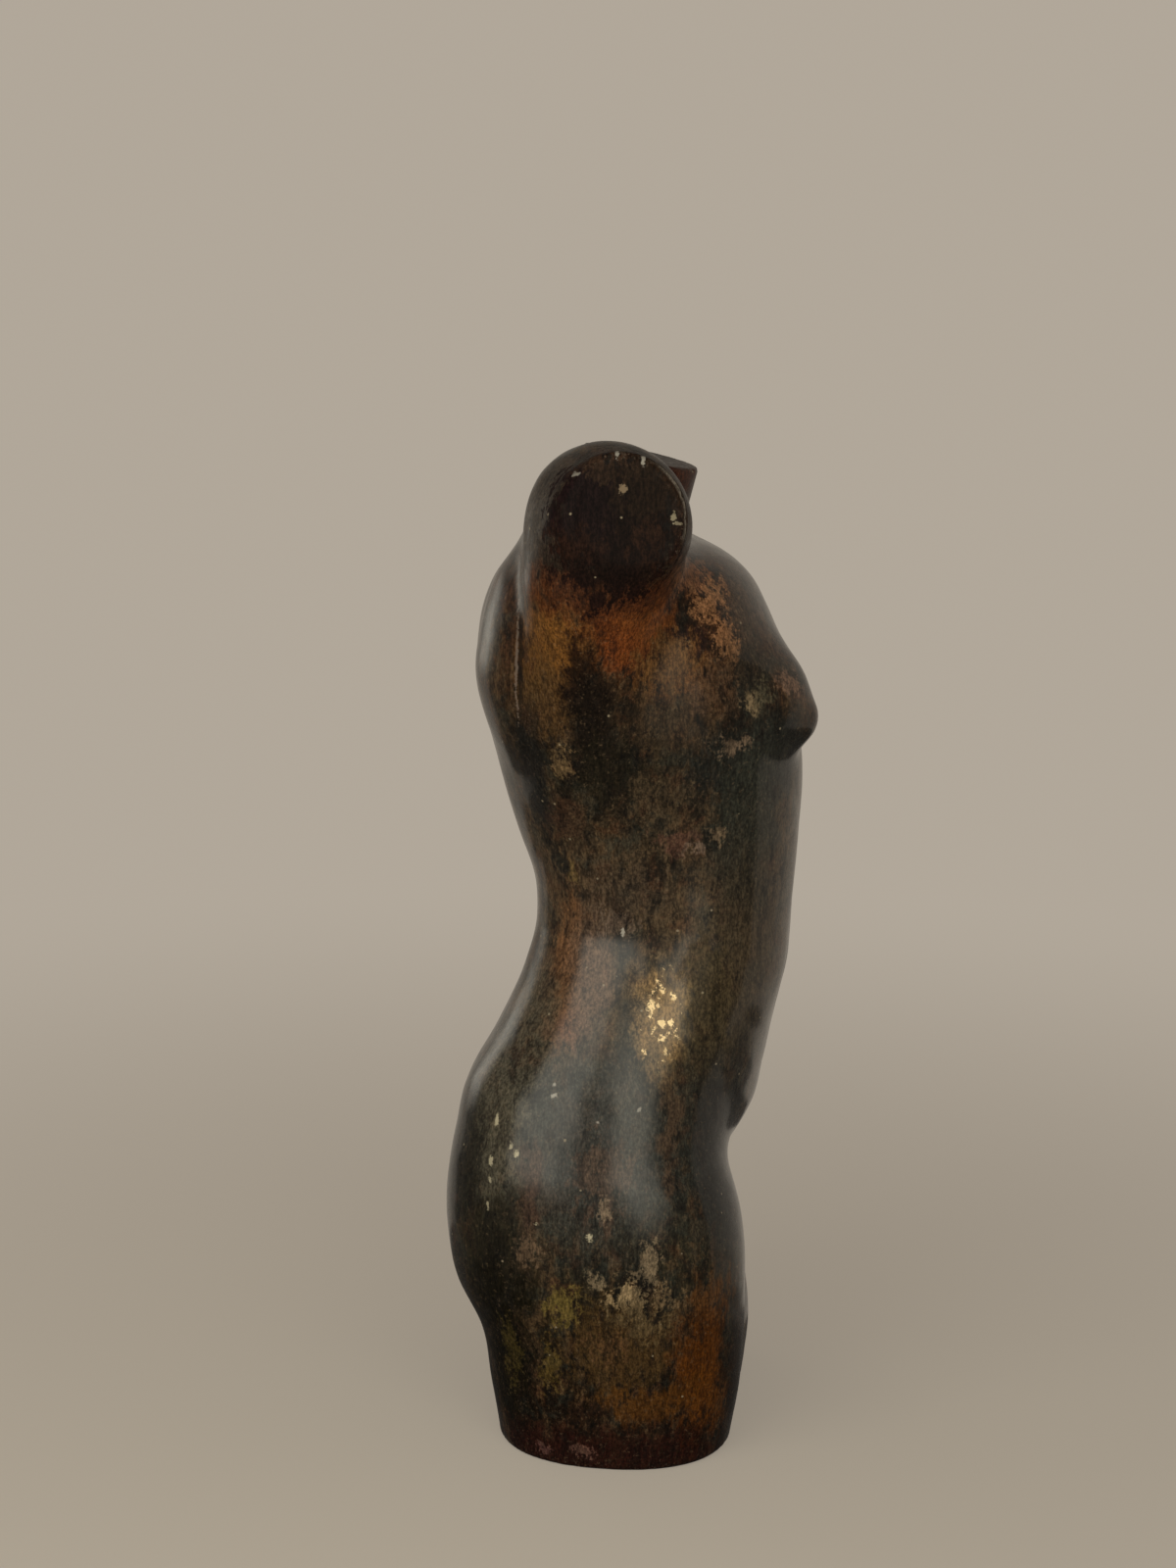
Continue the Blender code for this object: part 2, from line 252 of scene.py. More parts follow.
def body(p):
    """Below 0 inside the figure: its masses joined one by one, then its hollows."""
    x, y, z = p[..., 0], p[..., 1], p[..., 2]
    q = turned(p)
    stride = dip(z - STRIDE_HEIGHT, STRIDE_REACH)
    right = column(p, THIGH_ROWS, -1, THIGH_AHEAD * stride)
    left = column(p, THIGH_ROWS, 1, -LEFT_BEHIND * stride)
    thighs = join(right, left, THIGH_BLEND)
    thighs = -join(-thighs, THIGH_TOP - z, THIGH_TOP_BLEND)
    trunk = -join(-column(q, TRUNK_ROWS), TRUNK_TOP - z, TRUNK_END_BLEND)
    trunk = -join(-trunk, z - TRUNK_FOOT, TRUNK_END_BLEND)
    groin = np.exp(-(x / GROIN_HALF_WIDTH) ** 2) * step_up(-y, GROIN_EDGE)
    skin = join(trunk, thighs, HIP_BLEND + (GROIN_BLEND - HIP_BLEND) * groin)
    for points, tapers in ((p, STILL_TAPERS), (q, TURNED_TAPERS)):
        for start, end, start_radius, end_radius, blend in tapers.values():
            skin = join(skin, taper(points, start, end, start_radius, end_radius), blend)
    for side in (-1, 1):
        mirror = q * (side, 1, 1)
        for middle, radii, blend in PAIRED_EGGS.values():
            skin = join(skin, egg(mirror, middle, radii), blend)
        for start, end, start_radius, end_radius, blend in PAIRED_TAPERS.values():
            skin = join(skin, taper(mirror, start, end, start_radius, end_radius), blend)
    back = step_up(q[..., 1] - BACK_FROM, BACK_EDGE)
    spine = within(z, *SPINE_SPAN) * back
    belly = within(z, *BELLY_LINE_SPAN) * (1 - back)
    skin += SPINE_DEPTH * dip(q[..., 0], SPINE_REACH) * spine
    skin += BELLY_LINE_DEPTH * dip(q[..., 0], BELLY_LINE_REACH) * belly
    from_navel = np.hypot(q[..., 0], (z - NAVEL_HEIGHT) / NAVEL_TALLER)
    return skin + NAVEL_DEPTH * dip(from_navel, NAVEL_REACH) * (1 - back)


def waves(p):
    """Sums of three crossed sines for each wave length, in shares of HEIGHT."""
    total = 0.0
    for depth, length in WAVES.values():
        turn = p * (2 * np.pi * HEIGHT / length)
        x, y, z = turn[..., 0], turn[..., 1], turn[..., 2]
        crossed = np.sin(x + 1.7 * y + 0.4)
        crossed += np.sin(1.3 * y - 0.8 * z + 2.1)
        crossed += np.sin(0.9 * z + 0.7 * x + 1.3)
        total = total + crossed * depth / (3 * HEIGHT)
    return total


def past_cuts(p):
    """For each cut, how far a point lies past its plane within its radius, and how round its rim is."""
    for name, (centre, facing, radius, rim) in CUTS.items():
        facing = np.array(facing) / np.linalg.norm(facing)
        off = p - np.array(centre)
        past = off @ facing
        away = np.sqrt(np.maximum((off ** 2).sum(-1) - past ** 2, 0))
        side, rubbed = RUBBED_RIMS.get(name, ((0.0, 0.0, 1.0), 0.0))
        yield np.minimum(past, radius - away), rim + rubbed * step_up(off @ np.array(side), RUBBED_EDGE)


def from_line(p, start, end):
    """Distance to a straight line between two points."""
    start, axis = np.array(start), np.subtract(end, start)
    along = np.clip((p - start) @ axis / (axis @ axis), 0, 1)
    return np.linalg.norm(p - start - along[..., None] * axis, axis=-1)


def skin_field(p):
    """The figure's field with its handwork, each end taken off and the rims rounded."""
    skin = body(p) + waves(p)
    for start, end, depth, reach in SCORED_LINES.values():
        skin = skin + depth * dip(from_line(p, start, end), reach)
    for past, rim in past_cuts(p):
        skin = -join(-skin, -past, rim)
    return skin


def net(value, lowest, step):
    """Quads over the zero of a grid of values: one corner in each cell that the surface crosses."""
    cells = np.array(value.shape) - 1
    total, count = np.zeros((*cells, 3)), np.zeros(cells)
    for axis in range(3):
        for corner in np.ndindex(2, 2, 2):
            if corner[axis]:
                continue
            window = [slice(c, c + n) for c, n in zip(corner, cells)]
            a = value[tuple(window)]
            window[axis] = slice(1, 1 + cells[axis])
            b = value[tuple(window)]
            crossed = (a < 0) != (b < 0)
            place = np.array(corner) + np.zeros((*cells, 3))
            place[..., axis] = np.where(crossed, a / np.where(crossed, a - b, 1), 0)
            total += place * crossed[..., None]
            count += crossed
    used = count > 0
    index = np.full(cells, -1)
    index[used] = np.arange(used.sum())
    corners = lowest + step * (np.argwhere(used) + total[used] / count[used][:, None])
    quads = []
    for axis in range(3):
        low = [slice(1, -1)] * 3
        high = [slice(1, -1)] * 3
        low[axis], high[axis] = slice(0, -1), slice(1, None)
        inside = value[tuple(low)] < 0
        edges = np.argwhere(inside != (value[tuple(high)] < 0))
        ring = []
        for back, side in ((0, 0), (1, 0), (1, 1), (0, 1)):
            cell = edges.copy()
            cell[:, (axis + 1) % 3] += back
            cell[:, (axis + 2) % 3] += side
            ring.append(index[tuple(cell.T)])
        ring = np.stack(ring, 1)
        outward = inside[tuple(edges.T)][:, None]
        quads.append(np.where(outward, ring, ring[:, ::-1]))
    return corners, np.concatenate(quads)


def slope_of(field, points, step):
    """Each point's slope of a field, by small steps both ways."""
    nudges = np.eye(3) * step
    return np.stack([(field(points + d) - field(points - d)) / (2 * step) for d in nudges], 1)


def settle(points, step):
    """Slide points along the slope of the field until they lie on its zero."""
    for _ in range(SETTLE_ROUNDS):
        slope = slope_of(skin_field, points, step * SETTLE_NUDGE)
        size = np.maximum((slope ** 2).sum(1), LEAST_SLOPE)
        points = points - slope * (skin_field(points) / size)[:, None]
    return points


def add_mask(mesh, name, values):
    """A named value for each corner, which the material reads."""
    layer = mesh.attributes.new(name, "FLOAT", "POINT")
    layer.data.foreach_set("value", values.astype(np.float32))


def torso_skin():
    """The whole skin as one closed mesh, moved so that its box shares its middle with the frame's."""
    step = SKIN_STEP / HEIGHT
    lines = [np.arange(low, high, step) for low, high in zip(LOWEST, HIGHEST)]
    grid = np.stack(np.meshgrid(*lines, indexing="ij"), -1)
    points, quads = net(skin_field(grid), np.array(LOWEST), step)
    points = settle(points, step)

    slope = slope_of(body, points, step * FACING_NUDGE)
    outward = slope / np.linalg.norm(slope, axis=1)[:, None]
    hollow = 1 - body(points + outward * HOLLOW_REACH) / HOLLOW_REACH
    lift = body(points)
    rim = sum(dip(past, RIM_REACH) * dip(lift, RIM_REACH) for past, _ in past_cuts(points))

    places = points * HEIGHT
    middle = (places.min(0) + places.max(0)) / 2
    places[:, :2] += (np.array(cad_low + cad_high) / 2 - middle)[:2]
    mesh = bpy.data.meshes.new("torso_skin")
    mesh.from_pydata(places.tolist(), [], quads.tolist())
    mesh.shade_smooth()
    add_mask(mesh, "hollow", np.clip(hollow * HOLLOW_GAIN, 0, 1))
    add_mask(mesh, "rim", np.clip(rim, 0, 1))
    piece = bpy.data.objects.new("torso_skin", mesh)
    bpy.context.scene.collection.objects.link(piece)
    return piece


# Shader nodes
def put(tree, kind, inputs=(), out=0, **settings):
    """Add one node, set or link its inputs, and give back one of its outputs."""
    new = tree.nodes.new("ShaderNode" + kind)
    for name, value in settings.items():
        setattr(new, name, value)
    for name, value in dict(inputs).items():
        if isinstance(value, bpy.types.NodeSocket):
            tree.links.new(value, new.inputs[name])
        else:
            new.inputs[name].default_value = value
    return new.outputs[out]


def noise(tree, place, scale, detail, roughness, out=0):
    """Cloudy noise: a value, or with out=1 a value each way."""
    given = {"Vector": place, "Scale": scale, "Detail": detail, "Roughness": roughness}
    return put(tree, "TexNoise", given, out)


def ease(tree, value, low, high, to_low=0.0, to_high=1.0):
    """Smooth step of a value from one range to another."""
    ends = {"Value": value, "From Min": low, "From Max": high, "To Min": to_low, "To Max": to_high}
    return put(tree, "MapRange", ends, interpolation_type="SMOOTHSTEP")


def sums(tree, operation, a, b=0.0, c=0.0):
    """One step of arithmetic."""
    return put(tree, "Math", {0: a, 1: b, 2: c}, operation=operation)


def lay(tree, under, over, share, way="MIX"):
    """One colour laid over another by a share."""
    return put(tree, "Mix", {0: share, 6: under, 7: over}, out=2, data_type="RGBA", blend_type=way)


def push_by(tree, place, scale, detail, roughness, amount):
    """A push every way: noise less a half, times the amount."""
    push = noise(tree, place, scale, detail, roughness, out=1)
    push = put(tree, "VectorMath", {0: push, 1: (0.5, 0.5, 0.5)}, operation="SUBTRACT")
    return put(tree, "VectorMath", {0: push, "Scale": amount}, operation="SCALE")


def moved(tree, place, push):
    """Coordinates moved by a push."""
    return put(tree, "VectorMath", {0: place, 1: push}, operation="ADD")


def drawn_out(tree, place, share):
    """Coordinates that draw a pattern out upwards."""
    return put(tree, "Mapping", {"Vector": place, "Scale": (1.0, 1.0, share)})


def colour(*rgb):
    """A linear colour, opaque."""
    return (*rgb, 1.0)


def metres(millimetres):
    """The same lengths in metres."""
    return tuple(value * 0.001 for value in millimetres)


def mask_group(name, vectors, values):
    """A node group that takes these vectors and values, and puts out one mask."""
    group = bpy.data.node_groups.new(name, "ShaderNodeTree")
    for socket in vectors + values:
        kind = "NodeSocketVector" if socket in vectors else "NodeSocketFloat"
        group.interface.new_socket(socket, in_out="INPUT", socket_type=kind)
    group.interface.new_socket("Mask", in_out="OUTPUT", socket_type="NodeSocketFloat")
    return group, group.nodes.new("NodeGroupInput").outputs


def put_out(group, mask):
    """Lead a mask out of its group."""
    end = group.nodes.new("NodeGroupOutput")
    group.links.new(mask, end.inputs["Mask"])
    return group


def soft_patch_group():
    """Mask of a soft egg-shaped patch: 1 less the distance from its centre in reaches, broken by a mottle."""
    values = ("Mottle", "Ragged", "Soft", "Strength")
    group, given = mask_group("soft patch", ("Place", "Centre", "Reach"), values)
    offset = put(group, "VectorMath", {0: given["Place"], 1: given["Centre"]}, operation="SUBTRACT")
    scaled = put(group, "VectorMath", {0: offset, 1: given["Reach"]}, operation="DIVIDE")
    distance = put(group, "VectorMath", {0: scaled}, out=1, operation="LENGTH")
    swing = sums(group, "SUBTRACT", given["Mottle"], 0.5)
    broken = sums(group, "MULTIPLY_ADD", swing, given["Ragged"], distance)
    outer = sums(group, "ADD", given["Soft"], 1.0)
    inner = sums(group, "SUBTRACT", 1.0, given["Soft"])
    mask = ease(group, broken, outer, inner)
    return put_out(group, sums(group, "MULTIPLY", mask, given["Strength"]))


FLAKE_EDGE = 1.4


def flake_group():
    """Mask of scattered flakes: the cores of those cells in a pattern whose own number is low enough."""
    group, given = mask_group("leaf flakes", ("Place",), ("Scale", "Share", "Core"))
    cell = group.nodes.new("ShaderNodeTexVoronoi")
    group.links.new(given["Place"], cell.inputs["Vector"])
    group.links.new(given["Scale"], cell.inputs["Scale"])
    number = put(group, "SeparateColor", {"Color": cell.outputs["Color"]})
    kept = sums(group, "LESS_THAN", number, given["Share"])
    edge = sums(group, "MULTIPLY", given["Core"], FLAKE_EDGE)
    core = ease(group, cell.outputs["Distance"], edge, given["Core"])
    return put_out(group, sums(group, "MULTIPLY", kept, core))


# Ground colour of the patina by height in metres, as linear colours
GROUND = {
    0.000: (0.014, 0.006, 0.004),
    0.030: (0.026, 0.013, 0.006),
    0.075: (0.036, 0.022, 0.009),
    0.115: (0.048, 0.040, 0.023),
    0.150: (0.052, 0.050, 0.038),
    0.190: (0.062, 0.056, 0.040),
    0.240: (0.110, 0.075, 0.042),
    0.290: (0.100, 0.065, 0.036),
    0.340: (0.050, 0.036, 0.021),
    0.380: (0.075, 0.040, 0.018),
    0.430: (0.080, 0.030, 0.012),
    0.470: (0.055, 0.030, 0.020),
    0.500: (0.050, 0.034, 0.024),
}

# Where the hidden left side starts, and how it takes the right side's patches
LEFT_FROM, LEFT_MOVE, LEFT_TURN = 0.004, (0.0, 0.006, -0.028), (-1.0, -1.0, 1.0)

# Noise that pushes coordinates about: cells to the metre, detail, roughness, amount in metres
PUSH = (55.0, 4.0, 0.6, 0.022)
TORN = (330.0, 3.0, 0.6, 0.0075)
MARK_PUSH_SHARE = 0.10

# How much each set of coordinates draws a pattern out upwards
TALL, STRETCHED, COMBED = 0.55, 0.14, 0.13

# Patterns: coordinates, cells to the metre, detail, roughness, and the noise that counts as 0 and as 1
PATTERNS = {
    "mottle": ("tall", 210.0, 6.0, 0.74, 0.34, 0.66),
    "crumb": ("own", 480.0, 4.0, 0.72, 0.34, 0.66),
    "blotch": ("own", 42.0, 5.0, 0.65, 0.32, 0.68),
    "hue": ("warped", 75.0, 3.0, 0.60, 0.32, 0.68),
    "streak": ("stretched", 120.0, 4.0, 0.65, 0.34, 0.66),
    "comb": ("combed", 640.0, 3.0, 0.65, 0.30, 0.70),
    "speck": ("tall", 900.0, 2.0, 0.70, 0.30, 0.70),
}
# Layers over the ground: the pattern that lays each, the pattern's values where it starts and is full,
# its fullest share, linear colour
GROUND_LAYERS = (
    ("blotch", 0.45, 0.95, 0.75, (0.012, 0.010, 0.007)),
    ("streak", 0.55, 1.00, 0.55, (0.150, 0.090, 0.045)),
    ("streak", 0.40, 0.05, 0.55, (0.014, 0.010, 0.007)),
    ("hue", 0.60, 1.00, 0.45, (0.110, 0.045, 0.020)),
    ("hue", 0.40, 0.00, 0.50, (0.040, 0.046, 0.036)),
    ("mottle", 0.60, 1.00, 0.50, (0.008, 0.006, 0.005)),
    ("mottle", 0.22, 0.00, 0.40, (0.200, 0.130, 0.072)),
)
# The same over the patches and flecks
TOP_LAYERS = (
    ("streak", 0.30, 0.00, 0.40, (0.010, 0.008, 0.006)),
    ("mottle", 0.70, 1.00, 0.40, (0.008, 0.006, 0.005)),
    ("crumb", 0.72, 1.00, 0.35, (0.008, 0.006, 0.005)),
    ("crumb", 0.14, 0.00, 0.25, (0.230, 0.155, 0.090)),
)
# Grain that darkens and lightens the paint: upright and fine, from and to
COMB_SHADE, SPECK_SHADE = (0.56, 0.88), (0.60, 1.40)
# Shade in the hollows: most, colour; wear on the rims: the crumb that starts and ends it, most, colour
HOLLOW_SHARE, HOLLOW_COLOUR = 0.55, (0.010, 0.007, 0.005)
WEAR, WEAR_COLOUR = (0.78, 0.98, 0.0, 0.6), (0.200, 0.150, 0.115)

# Patches of the patina, with painted shade, sheen and reflections in those named so: centre and reach in
# millimetres, linear colour, strength, raggedness, softness
PATCHES = {
    # Partly the arm wall's grey-brown, partly a painted haze of reflected light
    "arm wall and painted haze": ((-108, 42, 476), (40, 20, 32), (0.078, 0.060, 0.046), 0.85, 0.4, 0.5),
    "chest front": ((-56, -53, 428), (24, 11, 22), (0.110, 0.074, 0.050), 0.65, 0.6, 0.5),
    "amber flank": ((-105, 29, 409), (26, 18, 24), (0.240, 0.100, 0.020), 0.95, 0.6, 0.5),
    "amber flank low": ((-96, 34, 380), (20, 13, 19), (0.115, 0.060, 0.020), 0.75, 1.1, 0.4),
    "rust flank": ((-106, -7, 417), (26, 22, 20), (0.165, 0.043, 0.009), 0.95, 0.6, 0.5),
    "orange core": ((-105, -10, 415), (22, 12, 14), (0.280, 0.088, 0.019), 0.85, 0.9, 0.45),
    "red streak": ((-103, -1, 405), (20, 6, 12), (0.260, 0.066, 0.014), 0.55, 1.1, 0.4),
    "rust armpit": ((-115, 6, 434), (25, 44, 12), (0.120, 0.036, 0.011), 0.85, 0.7, 0.45),
    "dark between upper": ((-106, 19, 393), (18, 8, 20), (0.018, 0.008, 0.005), 0.9, 0.9, 0.45),
    "dark between lower": ((-98, 13, 368), (18, 12, 28), (0.013, 0.008, 0.005), 0.95, 0.7, 0.4),
    "dark chest spot": ((-81, -31, 408), (12, 9, 8), (0.030, 0.012, 0.009), 0.95, 0.7, 0.35),
    "brown chest": ((-86, -22, 396), (20, 18, 15), (0.160, 0.066, 0.018), 0.75, 1.2, 0.35),
    "brown chest low": ((-84, -20, 370), (20, 18, 12), (0.064, 0.038, 0.019), 0.7, 1.2, 0.35),
    "breast shade": ((-50, -72, 352), (26, 24, 18), (0.014, 0.016, 0.014), 0.9, 0.5, 0.4),
    # Painted shade under the breast
    "painted shade under the breast": ((-68, -48, 348), (20, 26, 18), (0.014, 0.018, 0.017), 0.85, 0.7, 0.4),
    "breast side dark": ((-62, -58, 392), (16, 11, 18), (0.026, 0.026, 0.020), 0.7, 0.8, 0.4),
    "dark back edge": ((-80, 46, 338), (18, 12, 32), (0.016, 0.016, 0.015), 0.9, 0.7, 0.4),
    "dark mid chest": ((-89, 6, 344), (18, 22, 16), (0.020, 0.016, 0.009), 0.8, 1.0, 0.4),
    "rust back waist": ((-78, 27, 318), (14, 10, 10), (0.090, 0.042, 0.026), 0.4, 1.2, 0.4),
    "rose waist": ((-72, -27, 311), (12, 10, 5), (0.140, 0.065, 0.045), 0.7, 1.2, 0.3),
    "green belly side": ((-56, -56, 325), (22, 18, 50), (0.044, 0.045, 0.034), 0.85, 0.4, 0.45),
    "brown belly side": ((-50, -56, 250), (28, 20, 50), (0.080, 0.058, 0.034), 0.7, 0.5, 0.45),
    "orange waist streak": ((-70, 29, 240), (22, 9, 42), (0.235, 0.108, 0.044), 0.85, 0.7, 0.5),
    "rust hip top": ((-79, 26, 217), (14, 10, 10), (0.240, 0.105, 0.062), 0.55, 0.9, 0.45),
    # Partly the waist's pale paint, partly a painted reflection of a window
    "pale waist and painted window reflection": ((-70, 17, 238), (20, 10, 34), (0.200, 0.118, 0.078), 0.75, 0.3, 0.6),
    "gold ground": ((-77, -18, 221), (20, 11, 20), (0.400, 0.225, 0.080), 0.75, 0.6, 0.5),
    "olive waist": ((-67, -40, 225), (18, 13, 40), (0.085, 0.062, 0.030), 0.7, 0.6, 0.4),
    "blue hip": ((-96, 10, 158), (30, 34, 44), (0.062, 0.062, 0.056), 0.75, 0.4, 0.5),
    "brown hip line": ((-84, -25, 165), (10, 5, 34), (0.120, 0.070, 0.040), 0.7, 0.8, 0.4),
    "brown hip spots": ((-101, 5, 150), (12, 12, 18), (0.130, 0.075, 0.050), 0.6, 1.6, 0.3),
    "navy groin": ((-60, -44, 145), (26, 18, 52), (0.013, 0.015, 0.015), 0.9, 0.4, 0.45),
    # Partly olive patina, partly a painted sheen of reflected light
    "olive seat and painted sheen": ((-88, 60, 172), (24, 18, 45), (0.140, 0.122, 0.086), 0.75, 0.6, 0.45),
    "olive back of the waist": ((-72, 43, 228), (20, 12, 22), (0.130, 0.105, 0.070), 0.6, 0.6, 0.45),
    "dark seat edge": ((-80, 74, 152), (34, 11, 30), (0.012, 0.011, 0.008), 0.8, 0.7, 0.45),
    "maroon seat line": ((-103, 39, 140), (12, 5, 22), (0.120, 0.060, 0.038), 0.6, 0.8, 0.4),
    "dark seat": ((-98, 58, 106), (24, 20, 30), (0.024, 0.019, 0.009), 0.85, 0.8, 0.4),
    "olive thigh mid": ((-101, -4, 68), (14, 24, 24), (0.100, 0.055, 0.018), 0.75, 0.9, 0.4),
    "dark thigh back": ((-92, 56, 58), (26, 18, 52), (0.010, 0.008, 0.004), 0.9, 0.6, 0.4),
    "orange thigh": ((-80, -42, 52), (26, 12, 38), (0.125, 0.038, 0.004), 0.95, 0.6, 0.45),
    "orange thigh low": ((-74, -46, 36), (22, 10, 16), (0.170, 0.056, 0.005), 0.6, 1.2, 0.4),
    "dark foot line": ((-98, 10, 31), (24, 30, 2.2), (0.012, 0.006, 0.004), 0.6, 0.8, 0.4),
    "rust thigh top": ((-78, -43, 88), (18, 10, 10), (0.130, 0.056, 0.018), 0.8, 0.9, 0.4),
    "mustard band": ((-96, -22, 36), (14, 22, 10), (0.125, 0.048, 0.008), 0.75, 0.9, 0.4),
    "maroon foot": ((-92, -4, 4), (30, 75, 18), (0.030, 0.007, 0.005), 0.85, 0.5, 0.4),
    # Painted shade on the thighs' low front, where they turn away
    "painted shade on the low front": ((-20, -64, 30), (80, 16, 50), (0.012, 0.008, 0.005), 0.85, 0.5, 0.4),
}

# Crumbled flecks over the patches: centre and reach in millimetres, linear colour, strength
FLECK_RAGGED, FLECK_SOFT, FLECK_CRUMB, FLECK_MOTTLE = 2.0, 0.35, 0.45, 0.55
FLECKS = {
    "tan chest": ((-74, -28, 437), (20, 6, 8), (0.360, 0.150, 0.065), 0.7),
    "tan chest middle": ((-70, -37, 427), (20, 6, 8), (0.460, 0.220, 0.100), 0.75),
    "tan chest low": ((-68, -44, 412), (16, 5, 10), (0.420, 0.200, 0.090), 0.75),
    "tan chest foot": ((-66, -47, 402), (16, 4, 6), (0.300, 0.150, 0.070), 0.7),
    "tan rib": ((-72, -39, 386), (16, 10, 13), (0.120, 0.066, 0.038), 0.6),
    "tan by the rust": ((-88, -20, 400), (16, 12, 10), (0.190, 0.095, 0.032), 0.65),
    "breast": ((-48, -77, 386), (9, 7, 5), (0.250, 0.140, 0.090), 0.75),
    "by the breast": ((-66, -57, 376), (7, 4, 4), (0.300, 0.215, 0.120), 0.85),
    "under the breast": ((-70, -50, 358), (6, 6, 3), (0.240, 0.165, 0.110), 0.85),
    "breast edge": ((-60, -62, 380), (6, 4, 8), (0.120, 0.100, 0.060), 0.7),
    "back of the ribs": ((-90, 28, 350), (8, 3.5, 8), (0.210, 0.135, 0.065), 0.8),
    "back of the ribs low": ((-92, 26, 338), (6, 3, 4), (0.160, 0.105, 0.055), 0.6),
    "small of the back": ((-64, 26, 292), (6, 4, 5), (0.180, 0.120, 0.045), 0.8),
    "lowest rib": ((-67, -44, 314), (6, 2, 4), (0.260, 0.180, 0.110), 0.8),
    "under the lowest rib": ((-69, -36, 306), (6, 5, 2), (0.220, 0.150, 0.110), 0.8),
    "middle of the ribs": ((-78, -16, 330), (10, 16, 12), (0.090, 0.060, 0.034), 0.6),
    "over the waist": ((-66, 0, 285), (12, 16, 14), (0.105, 0.070, 0.045), 0.6),
    "pale over the waist": ((-68, 4, 268), (12, 9, 7), (0.190, 0.135, 0.100), 0.6),
    "rose of the thigh": ((-103, 41, 112), (10, 7, 6), (0.190, 0.120, 0.075), 0.7),
    "seat": ((-103, 3, 136), (4, 3, 4), (0.300, 0.220, 0.150), 0.85),
    "cream thigh": ((-100, -10, 92), (14, 9, 8), (0.480, 0.345, 0.190), 0.85),
    "cream thigh low": ((-99, -14, 80), (14, 14, 9), (0.150, 0.102, 0.048), 0.7),
    "cream thigh right": ((-94, -26, 92), (10, 6, 6), (0.230, 0.155, 0.085), 0.75),
    "cream stem": ((-99, -18, 108), (9, 4, 11), (0.290, 0.215, 0.135), 0.85),
    "cream spot": ((-105, 7, 101), (5, 3, 4), (0.280, 0.210, 0.130), 0.8),
    "rust thigh spot": ((-100, 0, 66), (12, 8, 7), (0.130, 0.065, 0.028), 0.7),
    "mustard thigh": ((-103, 22, 87), (12, 9, 7), (0.200, 0.145, 0.038), 0.75),
    "mustard thigh low": ((-98, 29, 54), (12, 4, 13), (0.150, 0.098, 0.024), 0.65),
    "mustard thigh back": ((-89, 50, 58), (12, 4, 16), (0.080, 0.058, 0.014), 0.6),
    "foot": ((-95, 13, 9), (6, 5, 3), (0.220, 0.110, 0.085), 0.7),
    "foot back": ((-90, 34, 8), (6, 3, 3), (0.190, 0.090, 0.080), 0.6),
}

# Fine marks that keep their place: centre and reach in millimetres, linear colour, strength
MARK_RAGGED, MARK_SOFT = 1.1, 0.25
PALE, OLD_WHITE = (0.560, 0.500, 0.350), (0.420, 0.390, 0.340)
MARKS = {
    # fold shade is painted shade beside the flank fold, and fold edge a painted highlight along the fold's
    # edge
    "fold shade": ((-88, 49.2, 398), (20, 1.4, 24), (0.010, 0.007, 0.005), 0.75),
    "fold edge highlight": ((-88.5, 51.1, 396), (20, 0.7, 25), (0.200, 0.150, 0.120), 0.65),
    "seat 1": ((-89, 58, 173), (4, 0.9, 2.4), PALE, 0.8),
    "seat 2": ((-97, 47, 159), (4, 1.1, 1.7), PALE, 0.9),
    "seat 3": ((-95, 50, 163), (4, 0.9, 1.4), PALE, 0.7),
    "seat 4": ((-94, 60, 154), (4, 0.9, 2), PALE, 0.7),
    "seat 5": ((-95, 60, 145), (4, 0.8, 1.5), PALE, 0.6),
    "seat 6": ((-97, 61, 132), (4, 0.8, 1.5), PALE, 0.6),
    "seat 7": ((-105, 36, 127), (4, 1, 1), PALE, 0.6),
    "hip 1": ((-93, 30, 188), (4, 1.3, 1.3), OLD_WHITE, 0.9),
    "hip 2": ((-91, 30, 193), (4, 0.8, 0.8), OLD_WHITE, 0.8),
    "hip 3": ((-96, 8, 177), (4, 0.8, 0.8), OLD_WHITE, 0.7),
    "hip 4": ((-90, -11, 183), (4, 1, 1), OLD_WHITE, 0.7),
    "hip 5": ((-105, 10, 122), (4, 2, 1.6), PALE, 0.9),
    "waist": ((-69, 1, 264), (4, 0.9, 2), OLD_WHITE, 0.9),
    "arm end": ((-122, -1, 481), (4, 1.6, 2), (0.300, 0.220, 0.140), 0.7),
    "arm end corner": ((-114, -24, 468), (6, 1, 2.4), (0.360, 0.310, 0.210), 0.7),
    "arm end foot": ((-114, -26, 465.5), (6, 2, 0.8), (0.330, 0.280, 0.190), 0.6),
    "arm top": ((-119, 2, 497), (6, 0.8, 2.8), OLD_WHITE, 0.8),
    "arm top front": ((-115, -10, 494), (6, 0.8, 3.2), OLD_WHITE, 0.8),
    "arm top back": ((-121, 20, 487), (6, 2, 1), OLD_WHITE, 0.5),
}
# Leaf beside the waist: where it lies, and a painted highlight, a warm glow, around it
LEAF = ((-76.5, -18, 226), (20, 7.8, 19), (1.000, 0.740, 0.400), 1.0, 0.9, 0.10)
LEAF_PAINTED_GLOW = ((-77, -19, 222), (20, 12, 24), (0.400, 0.260, 0.110), 0.45, 0.5, 0.6)
LEAF_TURN, LEAF_STRETCH = (0.5, 0.0, 0.0), (1.0, 1.0, 0.7)
# Flakes: cells to the metre, share of the cells, core of each in cells
LARGE_FLAKES, SMALL_FLAKES = (150.0, 0.30, 0.34), (320.0, 0.30, 0.40)
SPECKS, SPECK_SHARE, SPECK_COLOUR = (230.0, 0.045, 0.12), 0.7, (0.340, 0.280, 0.190)
